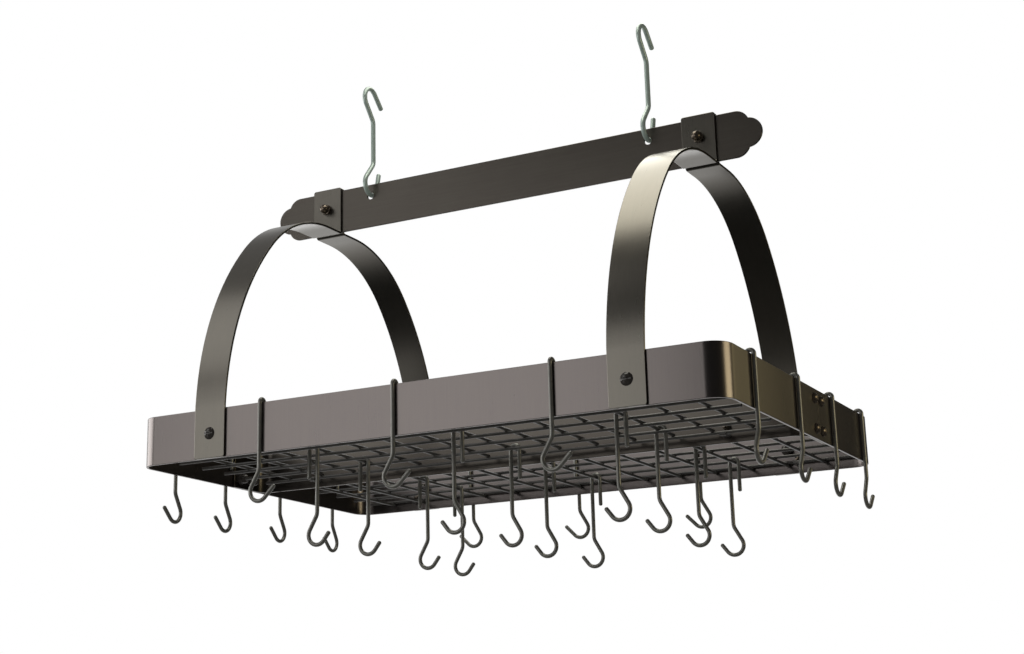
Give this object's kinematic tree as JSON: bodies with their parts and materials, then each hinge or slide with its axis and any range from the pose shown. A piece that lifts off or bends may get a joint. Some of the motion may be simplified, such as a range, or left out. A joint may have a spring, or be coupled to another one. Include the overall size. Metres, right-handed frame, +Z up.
{
  "type": "hanging pot rack",
  "caption": "Ceiling-hung pot rack: a rounded strip rim with wire grids below arched arms and a top bar, hung on open wire hooks, with loose pot hooks on rim and grids.",
  "frame": {"origin": "midway between the inner crowns of the two upper loops of the ceiling hooks, where the rack hangs from the ceiling", "axes": "+X along the rack's length to the right, +Y to its back, +Z up"},
  "size_m": [0.773, 0.5286, 0.6576],
  "materials": {
    "rim_coating": "satin grey-bronze coating over steel strip",
    "bar_coating": "satin dark bronze coating over steel strip",
    "arch_coating": "satin near-black bronze coating over steel strip",
    "grid_coating": "satin near-black coating over welded steel wire",
    "hook_coating": "satin grey-green coating over bent steel wire",
    "fastener_coating": "satin bronze coating over steel screws and cap nuts"
  },
  "bodies": {
    "ceiling_hooks": {"ceiling_hook_left": "hook_coating", "ceiling_hook_right": "hook_coating"},
    "rack": {"rim_front_half": "rim_coating", "rim_rear_half": "rim_coating", "crossbar": "bar_coating", "grid_front": "grid_coating", "grid_rear": "grid_coating", "arch_front_left": "arch_coating", "arch_front_right": "arch_coating", "arch_rear_left": "arch_coating", "arch_rear_right": "arch_coating", "top_bar": "bar_coating", "foot_screws": "fastener_coating", "foot_nuts": "fastener_coating", "splice_screws": "fastener_coating", "splice_nuts": "fastener_coating", "tab_bolts": "fastener_coating", "tab_nuts": "fastener_coating", "grid_clips_front": "grid_coating", "grid_clips_rear": "grid_coating", "clip_screws": "fastener_coating", "clip_nuts": "fastener_coating"},
    "front_rim_hook_1": {"front_rim_hook_1": "hook_coating"},
    "front_rim_hook_2": {"front_rim_hook_2": "hook_coating"},
    "front_rim_hook_3": {"front_rim_hook_3": "hook_coating"},
    "right_rim_hook_1": {"right_rim_hook_1": "hook_coating"},
    "right_rim_hook_2": {"right_rim_hook_2": "hook_coating"},
    "right_rim_hook_3": {"right_rim_hook_3": "hook_coating"},
    "right_rim_hook_4": {"right_rim_hook_4": "hook_coating"},
    "rear_rim_hook_1": {"rear_rim_hook_1": "hook_coating"},
    "rear_rim_hook_2": {"rear_rim_hook_2": "hook_coating"},
    "rear_rim_hook_3": {"rear_rim_hook_3": "hook_coating"},
    "left_rim_hook_1": {"left_rim_hook_1": "hook_coating"},
    "left_rim_hook_2": {"left_rim_hook_2": "hook_coating"},
    "left_rim_hook_3": {"left_rim_hook_3": "hook_coating"},
    "left_rim_hook_4": {"left_rim_hook_4": "hook_coating"},
    "front_grid_hook_1": {"front_grid_hook_1": "hook_coating"},
    "front_grid_hook_2": {"front_grid_hook_2": "hook_coating"},
    "front_grid_hook_3": {"front_grid_hook_3": "hook_coating"},
    "front_grid_hook_4": {"front_grid_hook_4": "hook_coating"},
    "front_grid_hook_5": {"front_grid_hook_5": "hook_coating"},
    "front_grid_hook_6": {"front_grid_hook_6": "hook_coating"},
    "rear_grid_hook_1": {"rear_grid_hook_1": "hook_coating"},
    "rear_grid_hook_2": {"rear_grid_hook_2": "hook_coating"},
    "rear_grid_hook_3": {"rear_grid_hook_3": "hook_coating"},
    "rear_grid_hook_4": {"rear_grid_hook_4": "hook_coating"},
    "rear_grid_hook_5": {"rear_grid_hook_5": "hook_coating"},
    "rear_grid_hook_6": {"rear_grid_hook_6": "hook_coating"}
  },
  "joints": [
    {"name": "rack_swing", "type": "hinge", "parent": "ceiling_hooks", "child": "rack", "pos_m": [0, 0, -0.1358], "axis": [1, 0, 0], "range_deg": [-30, 30]},
    {"name": "front_rim_hook_1_slide", "type": "slide", "parent": "rack", "child": "front_rim_hook_1", "axis": [1, 0, 0], "range_m": [-0.04, 0.04]},
    {"name": "front_rim_hook_2_slide", "type": "slide", "parent": "rack", "child": "front_rim_hook_2", "axis": [1, 0, 0], "range_m": [-0.04, 0.04]},
    {"name": "front_rim_hook_3_slide", "type": "slide", "parent": "rack", "child": "front_rim_hook_3", "axis": [1, 0, 0], "range_m": [-0.04, 0.04]},
    {"name": "right_rim_hook_1_slide", "type": "slide", "parent": "rack", "child": "right_rim_hook_1", "axis": [0, 1, 0], "range_m": [-0.04, 0.04]},
    {"name": "right_rim_hook_2_slide", "type": "slide", "parent": "rack", "child": "right_rim_hook_2", "axis": [0, 1, 0], "range_m": [-0.04, 0.025]},
    {"name": "right_rim_hook_3_slide", "type": "slide", "parent": "rack", "child": "right_rim_hook_3", "axis": [0, 1, 0], "range_m": [-0.022, 0.03]},
    {"name": "right_rim_hook_4_slide", "type": "slide", "parent": "rack", "child": "right_rim_hook_4", "axis": [0, 1, 0], "range_m": [-0.04, 0.015]},
    {"name": "rear_rim_hook_1_slide", "type": "slide", "parent": "rack", "child": "rear_rim_hook_1", "axis": [1, 0, 0], "range_m": [-0.04, 0.04]},
    {"name": "rear_rim_hook_2_slide", "type": "slide", "parent": "rack", "child": "rear_rim_hook_2", "axis": [1, 0, 0], "range_m": [-0.04, 0.04]},
    {"name": "rear_rim_hook_3_slide", "type": "slide", "parent": "rack", "child": "rear_rim_hook_3", "axis": [1, 0, 0], "range_m": [-0.04, 0.04]},
    {"name": "left_rim_hook_1_slide", "type": "slide", "parent": "rack", "child": "left_rim_hook_1", "axis": [0, 1, 0], "range_m": [-0.04, 0.04]},
    {"name": "left_rim_hook_2_slide", "type": "slide", "parent": "rack", "child": "left_rim_hook_2", "axis": [0, 1, 0], "range_m": [-0.04, 0.04]},
    {"name": "left_rim_hook_3_slide", "type": "slide", "parent": "rack", "child": "left_rim_hook_3", "axis": [0, 1, 0], "range_m": [-0.03, 0.004]},
    {"name": "left_rim_hook_4_slide", "type": "slide", "parent": "rack", "child": "left_rim_hook_4", "axis": [0, 1, 0], "range_m": [-0.04, 0.02]},
    {"name": "front_grid_hook_1_swing", "type": "hinge", "parent": "rack", "child": "front_grid_hook_1", "pos_m": [-0.1729, -0.18386, -0.52848], "axis": [0, 1, 0], "range_deg": [-30, 30]},
    {"name": "front_grid_hook_2_swing", "type": "hinge", "parent": "rack", "child": "front_grid_hook_2", "pos_m": [-0.1729, -0.06876, -0.52848], "axis": [0, 1, 0], "range_deg": [-30, 30]},
    {"name": "front_grid_hook_3_swing", "type": "hinge", "parent": "rack", "child": "front_grid_hook_3", "pos_m": [0.0247, -0.182, -0.52848], "axis": [0, 1, 0], "range_deg": [-30, 30]},
    {"name": "front_grid_hook_4_swing", "type": "hinge", "parent": "rack", "child": "front_grid_hook_4", "pos_m": [0.0247, -0.03847, -0.52848], "axis": [0, 1, 0], "range_deg": [-30, 30]},
    {"name": "front_grid_hook_5_swing", "type": "hinge", "parent": "rack", "child": "front_grid_hook_5", "pos_m": [0.2223, -0.16615, -0.52848], "axis": [0, 1, 0], "range_deg": [-30, 30]},
    {"name": "front_grid_hook_6_swing", "type": "hinge", "parent": "rack", "child": "front_grid_hook_6", "pos_m": [0.2223, -0.05291, -0.52848], "axis": [0, 1, 0], "range_deg": [-30, 30]},
    {"name": "rear_grid_hook_1_swing", "type": "hinge", "parent": "rack", "child": "rear_grid_hook_1", "pos_m": [-0.1729, 0.07948, -0.53218], "axis": [0, 1, 0], "range_deg": [-30, 30]},
    {"name": "rear_grid_hook_2_swing", "type": "hinge", "parent": "rack", "child": "rear_grid_hook_2", "pos_m": [-0.1729, 0.17407, -0.53218], "axis": [0, 1, 0], "range_deg": [-30, 30]},
    {"name": "rear_grid_hook_3_swing", "type": "hinge", "parent": "rack", "child": "rear_grid_hook_3", "pos_m": [0.0247, 0.05618, -0.53218], "axis": [0, 1, 0], "range_deg": [-30, 30]},
    {"name": "rear_grid_hook_4_swing", "type": "hinge", "parent": "rack", "child": "rear_grid_hook_4", "pos_m": [0.0247, 0.19551, -0.53218], "axis": [0, 1, 0], "range_deg": [-30, 30]},
    {"name": "rear_grid_hook_5_swing", "type": "hinge", "parent": "rack", "child": "rear_grid_hook_5", "pos_m": [0.2223, 0.06922, -0.53218], "axis": [0, 1, 0], "range_deg": [-30, 30]},
    {"name": "rear_grid_hook_6_swing", "type": "hinge", "parent": "rack", "child": "rear_grid_hook_6", "pos_m": [0.2223, 0.18619, -0.53218], "axis": [0, 1, 0], "range_deg": [-30, 30]}
  ]
}
